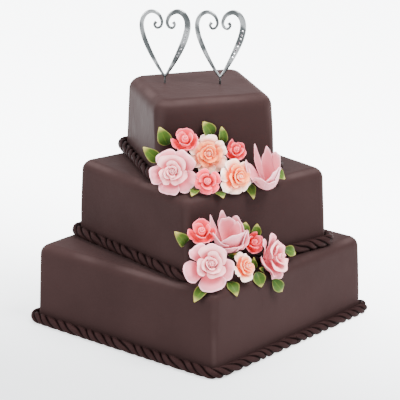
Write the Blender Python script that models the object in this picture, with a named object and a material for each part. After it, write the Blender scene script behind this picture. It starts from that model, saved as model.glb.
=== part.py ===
"""A three-tier square wedding cake in chocolate fondant, with roses, leaves, rope borders and two hearts.

Run it with blender --background --python part.py or from Blender's text editor. The tables below are in
millimetres, and every mesh is written in metres. +Z is up, the bottom tier lies along X and Y, and the origin
is at the middle of its underside. Each tier is turned against the one below it.
"""

import math

import bmesh
import bpy
import numpy as np

MM = 0.001
GAP = 0.3  # between pieces that touch

# Tiers, from the bottom: side, height, turn about Z in degrees, middle in X and Y
TIERS = {
    "bottom": dict(side=319.0, height=112.5, turn=0.0, middle=(0.0, 0.0)),
    "middle": dict(side=243.0, height=108.5, turn=-11.6, middle=(0.0, 4.0)),
    "top": dict(side=165.5, height=107.0, turn=-33.7, middle=(-14.0, 15.0)),
}
EDGE_ROUND = 14.0  # radius over the top edge, where the fondant folds down
CORNER_ROUND = 7.0  # radius of an upright corner at the foot
CORNER_SOFTER = 6.0  # added to that radius at the top
CORNER_LEAST = 4.0
CORNER_LOSS = 0.8  # of that radius, for each millimetre that an outline is drawn in
FOOT_ROUND = 1.5
TAPER = 1.2  # how much further out the foot is than the shoulder
CORNER_STEPS = 4
EDGE_STEPS = 4

# Rope borders: two strands twisted together, seen as one body with a waist
ROPE = 14.5  # across both strands
# Its section: degrees round, share of the radius
ROPE_SECTION = ((0, 1.00), (52, 0.74), (128, 0.74), (180, 1.00), (232, 0.74), (308, 0.74))
ROPE_ACROSS = 0.93  # the soft rope is pressed narrower against the wall and a little taller
ROPE_UPRIGHT = 1.04
ROPE_PINCH = 0.10  # lost across where it is pulled round a corner
PINCH_LENGTH = 0.022  # of the whole way round
ROPE_CORNER = 13.5
HALF_TWISTS = {"bottom": 19, "middle": 14, "top": 10}  # along one side and one corner
RINGS_A_HALF_TWIST = 2.5

# Roses. A row of a form is one ring of the bloom, from its back to its heart: radius and height as shares of
# the bloom's, and the petal layer that shapes it (0 for none).
FORMS = {
    "open": [
        (0.20, 0.04, 0), (0.62, 0.20, 1), (1.00, 0.48, 1), (0.95, 0.55, 1), (0.66, 0.45, 1),
        (0.74, 0.78, 2), (0.66, 0.80, 2), (0.46, 0.62, 2), (0.42, 0.96, 3), (0.33, 0.96, 3), (0.20, 0.78, 3),
    ],
    "bud": [
        (0.22, 0.03, 0), (0.66, 0.26, 1), (1.00, 0.74, 1), (0.92, 0.80, 1), (0.62, 0.60, 1),
        (0.58, 0.97, 2), (0.46, 0.97, 2), (0.24, 0.76, 2),
    ],
    "cup": [
        (0.24, 0.03, 0), (0.66, 0.18, 1), (0.90, 0.50, 1), (1.00, 0.92, 1), (0.94, 0.93, 1),
        (0.60, 0.46, 1), (0.56, 0.80, 2), (0.47, 0.80, 2), (0.24, 0.55, 2),
    ],
}
HEART_HEIGHT = {"open": 0.94, "bud": 0.92, "cup": 0.72}
ROSE_SIDES = {"open": 20, "bud": 16, "cup": 20}
PETALS = {"open": (5, 5, 4), "bud": (4, 4), "cup": (5, 4)}
NOTCH = {"open": (0.20, 0.12, 0.10), "bud": (0.14, 0.10), "cup": (0.24, 0.12)}  # lost radius between petals
RISE = {"open": 0.12, "bud": 0.10, "cup": 0.34}  # how far a petal's middle stands above its joints, of depth
UNEVEN = (0.00, 0.07, -0.05, 0.04, -0.08)  # each petal's own reach, in turn

# Each bloom lies before a tier's right wall: form, colour, place along the wall, out from it and up from the
# ledge, radius, depth, how far it faces right of straight out and how far up, in degrees, and its own turn.
ROSES = {
    "top": [
        ("open", "blush", (-76.0, 58.0, 29.0), 31.0, 30.0, -16.0, 20.0, 20.0),
        ("bud", "coral", (-47.0, 14.0, 56.0), 17.5, 25.0, -16.0, 50.0, 0.0),
        ("open", "peach", (-16.0, 17.0, 37.5), 27.0, 28.0, -12.0, 18.0, 50.0),
        ("bud", "coral", (-33.0, 72.0, 17.5), 17.5, 22.0, -16.0, 22.0, 30.0),
        ("open", "peach", (9.0, 62.0, 17.5), 24.5, 26.0, 14.0, 16.0, 10.0),
        ("bud", "coral", (23.0, 12.0, 36.5), 14.5, 22.0, 0.0, 40.0, 60.0),
        ("cup", "blush", (51.5, 57.5, 21.5), 22.5, 60.0, -30.0, 62.0, 36.0),
    ],
    "middle": [
        ("open", "blush", (-122.0, 48.5, 32.5), 33.0, 32.0, -38.0, 20.0, 40.0),
        ("bud", "coral", (-108.6, 17.0, 66.6), 18.5, 26.0, -40.0, 48.0, 20.0),
        ("cup", "blush", (-71.0, 26.0, 57.0), 27.0, 42.0, -44.0, 62.0, 25.0),
        ("bud", "coral", (-24.4, 17.6, 36.4), 15.3, 22.0, -10.0, 30.0, 10.0),
        ("open", "peach", (-63.5, 49.0, 20.5), 20.5, 22.0, 10.0, 24.0, 70.0),
        ("open", "blush", (-2.5, 37.6, 17.0), 30.5, 32.0, 22.0, 20.0, 5.0),
    ],
}

# Leaves before the same walls: foot, tip, the way the upper face looks (along, out, up) and the width
LEAVES = {
    "top": [
        ((-68.0, 4.0, 50.5), (-79.5, 5.0, 76.0), (-0.3, 1.0, 0.2), 19.0),
        ((-82.0, 12.0, 32.0), (-104.0, 14.0, 53.0), (-0.3, 1.0, 0.3), 17.0),
        ((-6.5, 3.5, 59.0), (-19.5, 4.0, 78.5), (0.0, 1.0, 0.2), 18.5),
        ((8.0, 4.0, 46.0), (6.0, 4.0, 70.0), (0.0, 1.0, 0.1), 13.0),
        ((-43.5, 61.0, 3.5), (-57.0, 80.0, 3.0), (0.0, 0.3, 1.0), 14.0),
        ((-17.5, 65.5, 0.0), (-14.0, 80.0, -4.0), (0.1, 0.6, 1.0), 14.0),
        ((28.0, 44.0, 2.0), (33.5, 62.0, -15.0), (0.2, 1.0, 0.8), 14.0),
        ((66.5, 37.0, 13.0), (84.0, 39.5, 1.5), (0.1, 0.9, 0.8), 14.0),
    ],
    "middle": [
        ((-126.0, 4.0, 53.0), (-149.0, 13.0, 76.0), (-0.5, 1.0, 0.4), 17.0),
        ((-117.0, 40.0, 2.0), (-142.0, 43.0, -11.5), (-0.7, 0.4, 0.9), 18.0),
        ((-86.0, 44.0, 3.0), (-86.0, 62.0, -11.0), (-0.2, 1.0, 0.9), 17.0),
        ((-38.0, 43.0, 6.0), (-37.0, 52.0, -13.0), (-0.4, 0.8, 0.5), 17.0),
        ((-13.0, 46.5, -9.0), (2.0, 48.5, -29.0), (-0.5, 0.8, 0.4), 16.0),
        ((28.0, 20.0, 17.0), (44.0, 26.0, 8.5), (-0.3, 0.8, 0.6), 15.0),
        ((-32.0, 4.0, 47.0), (-25.0, 5.0, 62.0), (-0.2, 1.0, 0.2), 17.0),
        ((-10.0, 5.0, 38.0), (-7.0, 6.0, 56.5), (-0.4, 0.8, 0.1), 14.0),
        ((-61.0, 22.0, 24.0), (-74.0, 44.0, 39.0), (-0.4, 0.4, 1.0), 13.0),
        ((-28.0, 26.0, 4.0), (-34.0, 32.0, 22.0), (-0.8, 1.0, 0.2), 9.0),
        ((-22.0, 37.0, 2.0), (-31.0, 41.0, 9.0), (-0.3, 1.0, 0.8), 8.0),
    ],
}
LEAF_THICK = 0.9
LEAF_ROWS = (0.14, 0.36, 0.60, 0.82)
LEAF_BROADEST = 0.8  # under 1 brings the broadest place nearer the foot
LEAF_FULL = 0.8  # under 1 makes the outline fuller than a sine
LEAF_BOW = 0.12  # rise of the midrib over its chord, as a share of length
LEAF_FOLD = 0.30  # rise of the edges over the midrib, as a share of half the width
LEAF_WAVE = 0.9
LEAF_CURL = 0.06  # how far the edges twist about the midrib towards the tip

# Silver hearts, each one pen stroke that runs down the left lobe to the tip and up the right one, on a pin
HEARTS = {"left": (-43.7, -16.7), "right": (26.6, 9.0)}  # pin along and out from the middle of the top tier
HEART_TURN = 36.3  # the line along both hearts, from +X
HEART_RISE = 9.6  # clear length of pin over the cake
HALF_HEART = [
    (11.5, 75.5), (13.8, 71.5), (10.5, 67.2), (5.2, 69.5), (3.6, 76.6), (8.0, 85.7), (17.5, 90.4),
    (26.6, 85.0), (31.0, 73.0), (28.6, 56.5), (20.6, 36.0), (10.6, 16.5), (3.4, 4.6),
]  # the right half, from the curled end to the tip
HEART_STATIONS = 20
HEART_THICK = 4.0
CHAMFER = 0.7
# Section of the bar: share of its breadth, chamfers added across, halves of its thickness forward
BAR_SECTION = ((0.5, 0, 0), (0.5, -1, 1), (-0.5, 1, 1), (-0.5, 0, 0), (-0.5, 1, -1), (0.5, -1, -1))
PEN_FINE = 3.0
PEN_BROAD = {"left": 6.6, "right": 9.0}
PEN_BULB = 1.6  # added to the breadth at the curled end
PEN_LOW = 1.25  # over 1 brings the broadest place nearer the tip
PEN_SWELL = 1.1  # over 1 makes the broad part shorter
PIN_RADIUS = 1.2
PIN_SINK = 25.0
PIN_SIDES = 8
GEMS = 8
GEM_RADIUS = 1.6
GEM_LAYERS = ((1.0, -0.4), (1.0, 0.3), (0.5, 1.0))  # share of radius, height over the bar's face
GEM_SIDES = 6
GEM_SPAN = (0.52, 0.78)  # of the broad stroke, from the curled end

COLOURS = {
    "fondant": ((0.075, 0.040, 0.036), 0.45, 0.0),
    "rope": ((0.060, 0.030, 0.028), 0.45, 0.0),
    "blush": ((0.85, 0.58, 0.60), 0.55, 0.0),
    "coral": ((0.85, 0.27, 0.27), 0.55, 0.0),
    "peach": ((0.90, 0.55, 0.40), 0.55, 0.0),
    "leaf": ((0.13, 0.22, 0.05), 0.50, 0.0),
    "silver": ((0.62, 0.63, 0.65), 0.30, 1.0),
}


def clear_scene():
    for thing in list(bpy.data.objects):
        bpy.data.objects.remove(thing)


def material(name):
    """A Principled material of that name from COLOURS, made once."""
    found = bpy.data.materials.get(name)
    if found:
        return found
    colour, roughness, metallic = COLOURS[name]
    made = bpy.data.materials.new(name)
    made.use_nodes = True
    shader = made.node_tree.nodes["Principled BSDF"]
    shader.inputs["Base Color"].default_value = (*colour, 1.0)
    shader.inputs["Roughness"].default_value = roughness
    shader.inputs["Metallic"].default_value = metallic
    made.diffuse_color = (*colour, 1.0)
    return made


def mesh_object(name, points, faces, finish, smooth_angle=50.0):
    """An object at the origin from points in millimetres, with its faces turned outwards."""
    mesh = bpy.data.meshes.new(name)
    mesh.from_pydata((np.asarray(points) * MM).tolist(), [], [tuple(int(i) for i in face) for face in faces])
    work = bmesh.new()
    work.from_mesh(mesh)
    bmesh.ops.recalc_face_normals(work, faces=work.faces)
    work.to_mesh(mesh)
    work.free()
    mesh.shade_smooth()
    mesh.set_sharp_from_angle(angle=math.radians(smooth_angle))
    mesh.materials.append(material(finish))
    made = bpy.data.objects.new(name, mesh)
    bpy.context.scene.collection.objects.link(made)
    return made


def ring_faces(rings, sides, joined=False):
    """Quads between neighbouring rings of that many sides each; joined closes the last ring to the first."""
    faces = []
    for ring in range(rings if joined else rings - 1):
        first, second = ring * sides, (ring + 1) % rings * sides
        for side in range(sides):
            after = (side + 1) % sides
            faces.append((first + side, first + after, second + after, second + side))
    return faces


def closed_by_poles(rings, start, end):
    """Points and faces of stacked rings with a point at each end."""
    sides = len(rings[0])
    count = len(rings) * sides
    points = np.vstack([*rings, start, end])
    faces = ring_faces(len(rings), sides)
    for side in range(sides):
        after = (side + 1) % sides
        faces.append((count, after, side))
        faces.append((count + 1, count - sides + side, count - sides + after))
    return points, faces


def turned(points, degrees):
    """The points turned about Z."""
    angle = math.radians(degrees)
    cos, sin = math.cos(angle), math.sin(angle)
    return np.asarray(points) @ np.array([[cos, sin, 0], [-sin, cos, 0], [0, 0, 1]])


def base_height(tier):
    """Height of the tier's underside above the floor."""
    below = list(TIERS)[: list(TIERS).index(tier)]
    return sum(TIERS[name]["height"] for name in below) + GAP * len(below)


def onto_tier(tier, points):
    """Points from the tier's own frame, with Z up from its foot, to the cake's."""
    spec = TIERS[tier]
    return turned(points, spec["turn"]) + [*spec["middle"], base_height(tier)]


def before_wall(tier, point):
    """A point along the tier's right wall, out from it and up from its foot, in the cake's frame."""
    along, out, up = point
    return onto_tier(tier, [[TIERS[tier]["side"] / 2 + out, along, up]])[0]


def wall_direction(tier, direction):
    along, out, up = direction
    made = turned([[out, along, up]], TIERS[tier]["turn"])[0]
    return made / np.linalg.norm(made)


def rounded_square(half, radius, steps):
    """Outline of a square of that half side, each corner an arc of that many steps."""
    corners = []
    for quarter in range(4):
        angles = np.radians(90 * quarter + np.linspace(0, 90, steps + 1))
        arc = radius * np.stack([np.cos(angles), np.sin(angles)], 1)
        middle = (half - radius) * np.array([1.0, 1.0])
        spin = np.radians(90 * quarter)
        turn = np.array([[math.cos(spin), -math.sin(spin)], [math.sin(spin), math.cos(spin)]])
        corners.append(arc + turn @ middle)
    return np.vstack(corners)


def make_tier(tier):
    """Rounded-square outlines stacked up the wall, then drawn in over the top edge along a quarter circle."""
    half, height = TIERS[tier]["side"] / 2, TIERS[tier]["height"]
    shoulder = height - EDGE_ROUND
    levels = [(0.0, half - FOOT_ROUND), (FOOT_ROUND, half), (shoulder, half - TAPER)]
    for angle in np.radians(np.linspace(0, 90, EDGE_STEPS + 1)[1:]):
        drawn_in = EDGE_ROUND * (1 - math.cos(angle))
        levels.append((shoulder + EDGE_ROUND * math.sin(angle), half - TAPER - drawn_in))
    rings = []
    for z, reach in levels:
        softer = CORNER_ROUND + CORNER_SOFTER * z / height
        radius = max(softer - CORNER_LOSS * (half - reach), CORNER_LEAST)
        outline = rounded_square(reach, radius, CORNER_STEPS)
        rings.append(onto_tier(tier, np.column_stack([outline, np.full(len(outline), z)])))
    foot = onto_tier(tier, [[0, 0, 0]])
    crown = onto_tier(tier, [[0, 0, height]])
    points, faces = closed_by_poles(rings, foot, crown)
    return mesh_object(f"{tier}_tier", points, faces, "fondant", smooth_angle=30.0)


def rope_course(half, radius, places):
    """Points and outward directions at shares of the way round a rounded square, from the middle of +X."""
    straight = 2 * (half - radius)
    arc = math.pi / 2 * radius
    side = straight + arc
    run = np.asarray(places) * 4 * side
    quarter = np.floor(run / side)
    run = run - quarter * side
    on_arc = np.clip(run - straight / 2, 0, arc)
    after = np.clip(run - straight / 2 - arc, 0, None)
    bend = on_arc / radius
    x = half - radius + radius * np.cos(bend) - after
    y = np.minimum(run, straight / 2) + radius * np.sin(bend)
    turn = quarter * math.pi / 2
    points = np.stack([x * np.cos(turn) - y * np.sin(turn), x * np.sin(turn) + y * np.cos(turn)], 1)
    outward = np.stack([np.cos(bend + turn), np.sin(bend + turn)], 1)
    return points, outward


def make_rope(tier):
    """A waisted section carried round the tier's foot while it turns about the rope's own line.

    It makes a whole number of turns on the way, so the last ring joins the first point for point.
    """
    rings = 4 * round(HALF_TWISTS[tier] * RINGS_A_HALF_TWIST)
    places = np.arange(rings) / rings
    from_corner = (places * 4) % 1 / 4 - 1 / 8
    squeeze = ROPE_ACROSS - ROPE_PINCH * np.exp(-((from_corner / PINCH_LENGTH) ** 2))
    course, outward = rope_course(TIERS[tier]["side"] / 2 + GAP + squeeze * ROPE / 2, ROPE_CORNER, places)
    turn, share = np.array(ROPE_SECTION).T
    radius = share * ROPE / 2
    twist = -np.pi * 4 * HALF_TWISTS[tier] * places
    angle = twist[:, None] + np.radians(turn)
    across = squeeze[:, None] * radius * np.cos(angle)
    up = ROPE_UPRIGHT * (radius * np.sin(angle) + ROPE / 2) + (GAP if tier != "bottom" else 0)
    flat = course[:, None, :] + across[..., None] * outward[:, None, :]
    points = np.concatenate([flat, up[..., None]], axis=2).reshape(-1, 3)
    faces = ring_faces(rings, len(ROPE_SECTION), joined=True)
    return mesh_object(f"{tier}_rope", onto_tier(tier, points), faces, "rope", smooth_angle=80.0)


def facing_frame(tier, right, up):
    """Sideways, upward and forward directions of a bloom that faces so many degrees right of out, and up."""
    yaw, lift = math.radians(right), math.radians(up)
    level = math.cos(lift)
    forward = wall_direction(tier, (math.sin(yaw) * level, math.cos(yaw) * level, math.sin(lift)))
    sideways = wall_direction(tier, (math.cos(yaw), -math.sin(yaw), 0.0))
    return sideways, np.cross(forward, sideways), forward


def make_rose(name, tier, spec):
    """Rings from the bloom's back to its heart, drawn in between petals and raised at their middles."""
    form, colour, place, radius, depth, right, up, spin = spec
    sides = ROSE_SIDES[form]
    around = 2 * np.pi * np.arange(sides) / sides
    sideways, upward, forward = facing_frame(tier, right, up)
    back = before_wall(tier, place) - forward * depth / 2
    rings = []
    for reach, height, layer in FORMS[form]:
        ring_radius = np.full(sides, reach * radius)
        ring_height = np.full(sides, height * depth)
        if layer:
            count = PETALS[form][layer - 1]
            run = np.arange(sides) * count / sides + 0.5 * layer
            dome = 1 - (2 * (run % 1) - 1) ** 2
            own = np.array(UNEVEN)[np.floor(run).astype(int) % len(UNEVEN)]
            ring_radius = ring_radius * (1 - NOTCH[form][layer - 1] * (1 - dome) + own * dome)
            ring_height = ring_height + RISE[form] * depth * height * (dome - 1) / layer
        angle = around + math.radians(spin)
        flat = ring_radius[:, None] * (np.cos(angle)[:, None] * sideways + np.sin(angle)[:, None] * upward)
        rings.append(back + flat + ring_height[:, None] * forward)
    heart = back + forward * depth * HEART_HEIGHT[form]
    points, faces = closed_by_poles(rings, back, heart)
    return mesh_object(name, points, faces, colour, smooth_angle=60.0)


def make_leaf(name, tier, spec):
    """A pointed oval from foot to tip: bowed along, folded up at the edges, waved and curled at the tip.

    Both faces carry the same triangles, half the thickness above and below the middle surface.
    """
    foot, tip, face, width = spec
    start, end = before_wall(tier, foot), before_wall(tier, tip)
    length = np.linalg.norm(end - start)
    along = (end - start) / length
    normal = wall_direction(tier, face)
    normal = normal - along * (normal @ along)
    normal /= np.linalg.norm(normal)
    across = np.cross(along, normal)
    rows = [start]
    for run in LEAF_ROWS:
        half = width / 2 * math.sin(math.pi * run**LEAF_BROADEST) ** LEAF_FULL
        bow = LEAF_BOW * length * math.sin(math.pi * run)
        wave = LEAF_WAVE * math.sin(3 * math.pi * run)
        curl = LEAF_CURL * length * run**2
        rib = start + along * length * run + normal * bow
        rows.append(rib + across * half + normal * (LEAF_FOLD * half + wave - curl))
        rows.append(rib)
        rows.append(rib - across * half + normal * (LEAF_FOLD * half - wave - curl))
    rows.append(end)
    middle = np.array(rows)
    count = len(middle)
    last = count - 1
    upper = [(0, 2, 1), (0, 3, 2), (last, last - 3, last - 2), (last, last - 2, last - 1)]
    for row in range(len(LEAF_ROWS) - 1):
        here, there = 1 + 3 * row, 4 + 3 * row
        for side in (0, 1):
            upper.append((here + side, here + side + 1, there + side + 1))
            upper.append((here + side, there + side + 1, there + side))
    lower = [(c + count, b + count, a + count) for a, b, c in upper]
    left = [0, *range(1, last, 3), last]
    right = [0, *range(3, last, 3), last]
    rim = []
    for outline in (left, right):
        for here, there in zip(outline, outline[1:]):
            rim.append((here, there, there + count))
            rim.append((here, there + count, here + count))
    half_thick = normal * LEAF_THICK / 2
    points = np.vstack([middle + half_thick, middle - half_thick])
    return mesh_object(name, points, upper + lower + rim, "leaf", smooth_angle=60.0)


def smooth_course(points, count):
    """That many points evenly along a Catmull-Rom curve through the given ones."""
    known = np.asarray(points, float)
    padded = np.vstack([2 * known[0] - known[1], known, 2 * known[-1] - known[-2]])
    run = np.linspace(0, 1, 12, endpoint=False)[:, None]
    pieces = []
    for i in range(len(known) - 1):
        a, b, c, d = padded[i : i + 4]
        slope, bend, twist = c - a, 2 * a - 5 * b + 4 * c - d, 3 * b - a - 3 * c + d
        pieces.append(b + 0.5 * (slope * run + bend * run**2 + twist * run**3))
    fine = np.vstack([*pieces, known[-1:]])
    reach = np.concatenate([[0], np.cumsum(np.linalg.norm(np.diff(fine, axis=0), axis=1))])
    even = np.linspace(0, reach[-1], count)
    return np.stack([np.interp(even, reach, fine[:, k]) for k in range(fine.shape[1])], 1)


def heart_stroke():
    """Centre line of the whole stroke, and the pen's breadth along it."""
    right = smooth_course([*HALF_HEART, (0.0, 0.0)], HEART_STATIONS)
    left = right * [-1, 1]
    line = np.vstack([left[:-1], [[0.0, right[-1][1]]], right[-2::-1]])
    run = np.linspace(0, 1, HEART_STATIONS)
    breadths = {}
    for side, broad in PEN_BROAD.items():
        swell = (broad - PEN_FINE) * np.sin(np.pi * run**PEN_LOW) ** PEN_SWELL
        breadths[side] = PEN_FINE + swell + PEN_BULB * np.exp(-((run / 0.03) ** 2))
    breadth = np.concatenate([breadths["left"], breadths["right"][-2::-1]])
    return line, breadth


def solid_tool(name, rings, finish):
    start = rings[0].mean(axis=0)
    end = rings[-1].mean(axis=0)
    return mesh_object(name, *closed_by_poles(rings, start, end), finish)


def combine(base, tools, operation):
    """Joins the tools to the base, or cuts them out of it, by one Boolean, and removes them."""
    held = bpy.data.collections.new("tools")
    bpy.context.scene.collection.children.link(held)
    for tool in tools:
        held.objects.link(tool)
        bpy.context.scene.collection.objects.unlink(tool)
    step = base.modifiers.new("combine", "BOOLEAN")
    step.operation = operation
    step.operand_type = "COLLECTION"
    step.collection = held
    step.solver = "EXACT"
    bpy.context.view_layer.update()
    shape = base.evaluated_get(bpy.context.evaluated_depsgraph_get())
    result = bpy.data.meshes.new_from_object(shape)
    base.modifiers.remove(step)
    base.data = result
    for tool in tools:
        bpy.data.objects.remove(tool)
    bpy.data.collections.remove(held)


def pin_rings(radius, low, high):
    around = 2 * np.pi * (np.arange(PIN_SIDES) + 0.5) / PIN_SIDES
    flat = radius * np.stack([np.cos(around), np.sin(around)], 1)
    return [np.column_stack([flat, np.full(PIN_SIDES, z)]) for z in (low, high)]


def heart_place(side):
    """Foot of the heart's pin on the cake's top."""
    along, out = HEARTS[side]
    return onto_tier("top", [[out, along, TIERS["top"]["height"]]])[0]


def cut_pockets(tier_object):
    """One round pocket in the top tier for each pin, a gap wider and deeper than it."""
    cutters = []
    for side in HEARTS:
        rings = pin_rings(PIN_RADIUS + GAP, -PIN_SINK - GAP, 5.0)
        cutters.append(solid_tool(f"{side}_pocket", [ring + heart_place(side) for ring in rings], "fondant"))
    combine(tier_object, cutters, "DIFFERENCE")


def make_heart(side):
    """A flat chamfered bar carried along the pen stroke, with its pin and a row of gems on the broad side."""
    line, breadth = heart_stroke()
    place = heart_place(side)
    heading = np.gradient(line, axis=0)
    heading /= np.linalg.norm(heading, axis=1)[:, None]
    inward = np.stack([-heading[:, 1], heading[:, 0]], 1)
    half_thick = HEART_THICK / 2

    def standing(flat, forward):
        """Points of the heart's plane, with their distance in front of it, stood up over the pin."""
        upright = np.column_stack([flat[:, 0], np.full(len(flat), -forward), flat[:, 1]])
        return turned(upright, HEART_TURN) + place + [0, 0, HEART_RISE]

    columns = []
    for share, chamfers, forward in BAR_SECTION:
        offset = share * breadth + chamfers * CHAMFER
        columns.append(standing(line + inward * offset[:, None], forward * half_thick))
    rings = list(np.stack(columns, axis=1))
    heart = solid_tool(f"{side}_heart", rings, "silver")

    rise = HEART_RISE + PEN_FINE / 2
    tools = [solid_tool("pin", [ring + place for ring in pin_rings(PIN_RADIUS, -PIN_SINK, rise)], "silver")]
    broad = smooth_course([*HALF_HEART, (0.0, 0.0)], 200)
    for share in np.linspace(*GEM_SPAN, GEMS):
        seat = broad[round(share * (len(broad) - 1))]
        around = 2 * np.pi * np.arange(GEM_SIDES) / GEM_SIDES
        layers = []
        for size, height in GEM_LAYERS:
            flat = seat + size * GEM_RADIUS * np.stack([np.cos(around), np.sin(around)], 1)
            layers.append(standing(flat, half_thick + height))
        tools.append(solid_tool("gem", layers, "silver"))
    combine(heart, tools, "UNION")
    return heart


def main():
    clear_scene()
    tiers = {tier: make_tier(tier) for tier in TIERS}
    for tier in TIERS:
        make_rope(tier)
    for tier, blooms in ROSES.items():
        for number, spec in enumerate(blooms, 1):
            make_rose(f"{tier}_rose_{number}", tier, spec)
    for tier, sprays in LEAVES.items():
        for number, spec in enumerate(sprays, 1):
            make_leaf(f"{tier}_leaf_{number}", tier, spec)
    cut_pockets(tiers["top"])
    for side in HEARTS:
        make_heart(side)


main()
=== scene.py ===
"""Looks of a three-tier wedding cake: chocolate fondant, rope borders, sugar roses and leaves, silver hearts.

Lengths in the tables are millimetres, and every mesh is written in metres. Each curved piece is a grid of
points worked out with numpy: a formula in two parameters or a section along a path.
"""

import math

import bmesh
import bpy
import numpy as np
from mathutils import Matrix, Vector


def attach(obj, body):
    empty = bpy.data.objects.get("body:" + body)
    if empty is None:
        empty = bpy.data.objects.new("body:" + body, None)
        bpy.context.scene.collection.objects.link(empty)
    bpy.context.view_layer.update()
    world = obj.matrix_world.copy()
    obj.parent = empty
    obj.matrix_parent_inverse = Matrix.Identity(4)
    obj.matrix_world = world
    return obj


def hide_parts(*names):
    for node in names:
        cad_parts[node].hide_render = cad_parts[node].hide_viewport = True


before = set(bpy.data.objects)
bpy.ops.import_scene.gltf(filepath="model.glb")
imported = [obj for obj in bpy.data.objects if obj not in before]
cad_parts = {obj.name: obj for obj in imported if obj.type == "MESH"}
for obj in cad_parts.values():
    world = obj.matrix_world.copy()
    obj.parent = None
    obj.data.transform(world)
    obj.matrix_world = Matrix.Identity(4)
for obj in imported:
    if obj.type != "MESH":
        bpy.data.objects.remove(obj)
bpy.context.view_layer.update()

MM = 0.001
GAP = 0.3

# Tiers, from the bottom: side, height, turn about Z in degrees, middle in X and Y
TIERS = {
    "bottom": dict(side=319.0, height=112.5, turn=0.0, middle=(0.0, 0.0)),
    "middle": dict(side=243.0, height=108.5, turn=-11.6, middle=(0.0, 4.0)),
    "top": dict(side=165.5, height=107.0, turn=-33.7, middle=(-14.0, 15.0)),
}

# Their icing: the rounding of the top edge, and of the corners, which get softer towards the top
EDGE_ROUND = {"bottom": 14.0, "middle": 14.0, "top": 18.0}
CORNER_ROUND = 7.0
CORNER_SOFTER = {"bottom": 6.0, "middle": 8.0, "top": 14.0}
SOFTER_POWER = 1.5
CORNER_LEAST = 4.0
CORNER_LOSS = 0.8  # how much of a corner's radius goes with each millimetre drawn in
FOOT_ROUND = 1.5
FOOT_STEP = 0.45
TAPER = 1.2
WALL_LEVELS = 26
EDGE_LEVELS = 11
TOP_LEVELS = 22
TOP_INNERMOST = 0.02
SIDE_STEPS = 44
CORNER_STEPS = 9

# How uneven hands left it: how far it stands out, the waves' lengths and the heights where they set in
UNEVEN = 0.5
WAVE_LENGTHS = (150.0, 95.0, 60.0, 38.0)
WAVES_TOGETHER = 2.3
UNEVEN_HEIGHTS = (16.0, 34.0)

# Painted highlight on the icing, lighter where light catches it: radians over the top edge and how broadly,
# and how much at the corners
HIGHLIGHT_AT = 0.95
HIGHLIGHT_BREADTH = 0.34
HIGHLIGHT_CORNERS = 0.6
HIGHLIGHT_HEIGHTS = (5.0, 20.0)

# Rope borders
ROPE = 14.5
ROPE_ACROSS = 0.93
ROPE_UPRIGHT = 1.04
ROPE_PINCH = 0.10
PINCH_LENGTH = 0.022
ROPE_CORNER = 13.5
STRANDS = 3
GROOVES_A_SIDE = {"bottom": 19, "middle": 14, "top": 10}
RINGS_A_GROOVE = 12
ROPE_SIDES = 36
GROOVE = 0.34  # depth of a groove as a share of the radius
GROOVE_POWER = 1.5
UNEVEN_TWIST = ((0.35, 13, 1.0), (0.25, 29, 0.0))  # radians, waves round the tier and where each starts

# Roses before each tier's right wall: form, colour, place along the wall, out from it and up from the ledge,
# radius, depth, and how far it faces right of straight out and how far up, in degrees
ROSES = {
    "top": [
        ("open", "blush", (-76, 58, 29), 31, 30, -16, 20),
        ("bud", "coral", (-47, 14, 56), 17.5, 25, -16, 50),
        ("open", "peach", (-16, 17, 37.5), 27, 28, -12, 18),
        ("bud", "coral", (-33, 72, 17.5), 17.5, 22, -16, 22),
        ("open", "peach", (9, 62, 17.5), 24.5, 26, 14, 16),
        ("bud", "coral", (23, 12, 36.5), 14.5, 22, 0, 40),
        ("cup", "blush", (51.5, 57.5, 21.5), 22.5, 60, -30, 62),
    ],
    "middle": [
        ("open", "blush", (-122, 48.5, 32.5), 33, 32, -38, 20),
        ("bud", "coral", (-108.6, 17, 66.6), 18.5, 26, -40, 48),
        ("cup", "blush", (-71, 26, 57), 27, 42, -44, 62),
        ("bud", "coral", (-24.4, 17.6, 36.4), 15.3, 22, -10, 30),
        ("open", "peach", (-63.5, 49, 20.5), 20.5, 22, 10, 24),
        ("open", "blush", (-2.5, 36.9, 17), 30.5, 32, 22, 20),
    ],
}

# How petals run from the foot to the rim, as (radius, height) shares of the bloom's, by whorl
RUNS = {
    "flared": ((0.06, 0.02), (0.55, 0.16), (0.74, 0.62), (1, 0.44)),
    "cupped": ((0.1, 0.02), (0.74, 0.04), (0.8, 0.56), (1, 0.8)),
    "tall": ((0.08, 0), (0.8, 0.06), (0.84, 0.52), (0.92, 1)),
    "second": ((0.06, 0.22), (0.42, 0.44), (0.48, 0.76), (0.66, 0.8)),
    "inner": ((0.05, 0.4), (0.22, 0.56), (0.25, 0.88), (0.35, 0.95)),
    "core": ((0.03, 0.5), (0.12, 0.62), (0.15, 0.9), (0.2, 0.99)),
    "bud": ((0.08, 0.22), (0.5, 0.3), (0.5, 0.8), (0.66, 0.92)),
}
INSIDE = {"flared": 0.0, "cupped": 0.0, "tall": 0.0, "second": 0.9, "inner": 1.0, "core": 1.0, "bud": 0.55}
# How far one edge of a petal laps outside the other
LAP_OUT = {"second": 0.075, "inner": 0.075, "core": 0.04, "bud": 0.075}

# The two petals wrapped round the heart of each open rose
CORE = [("core", 215, 105, 1.1, 0.98, 0.0, 0.01), ("core", 40, 105, 1.0, 1.0, 0.0, 0.01)]

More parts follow.
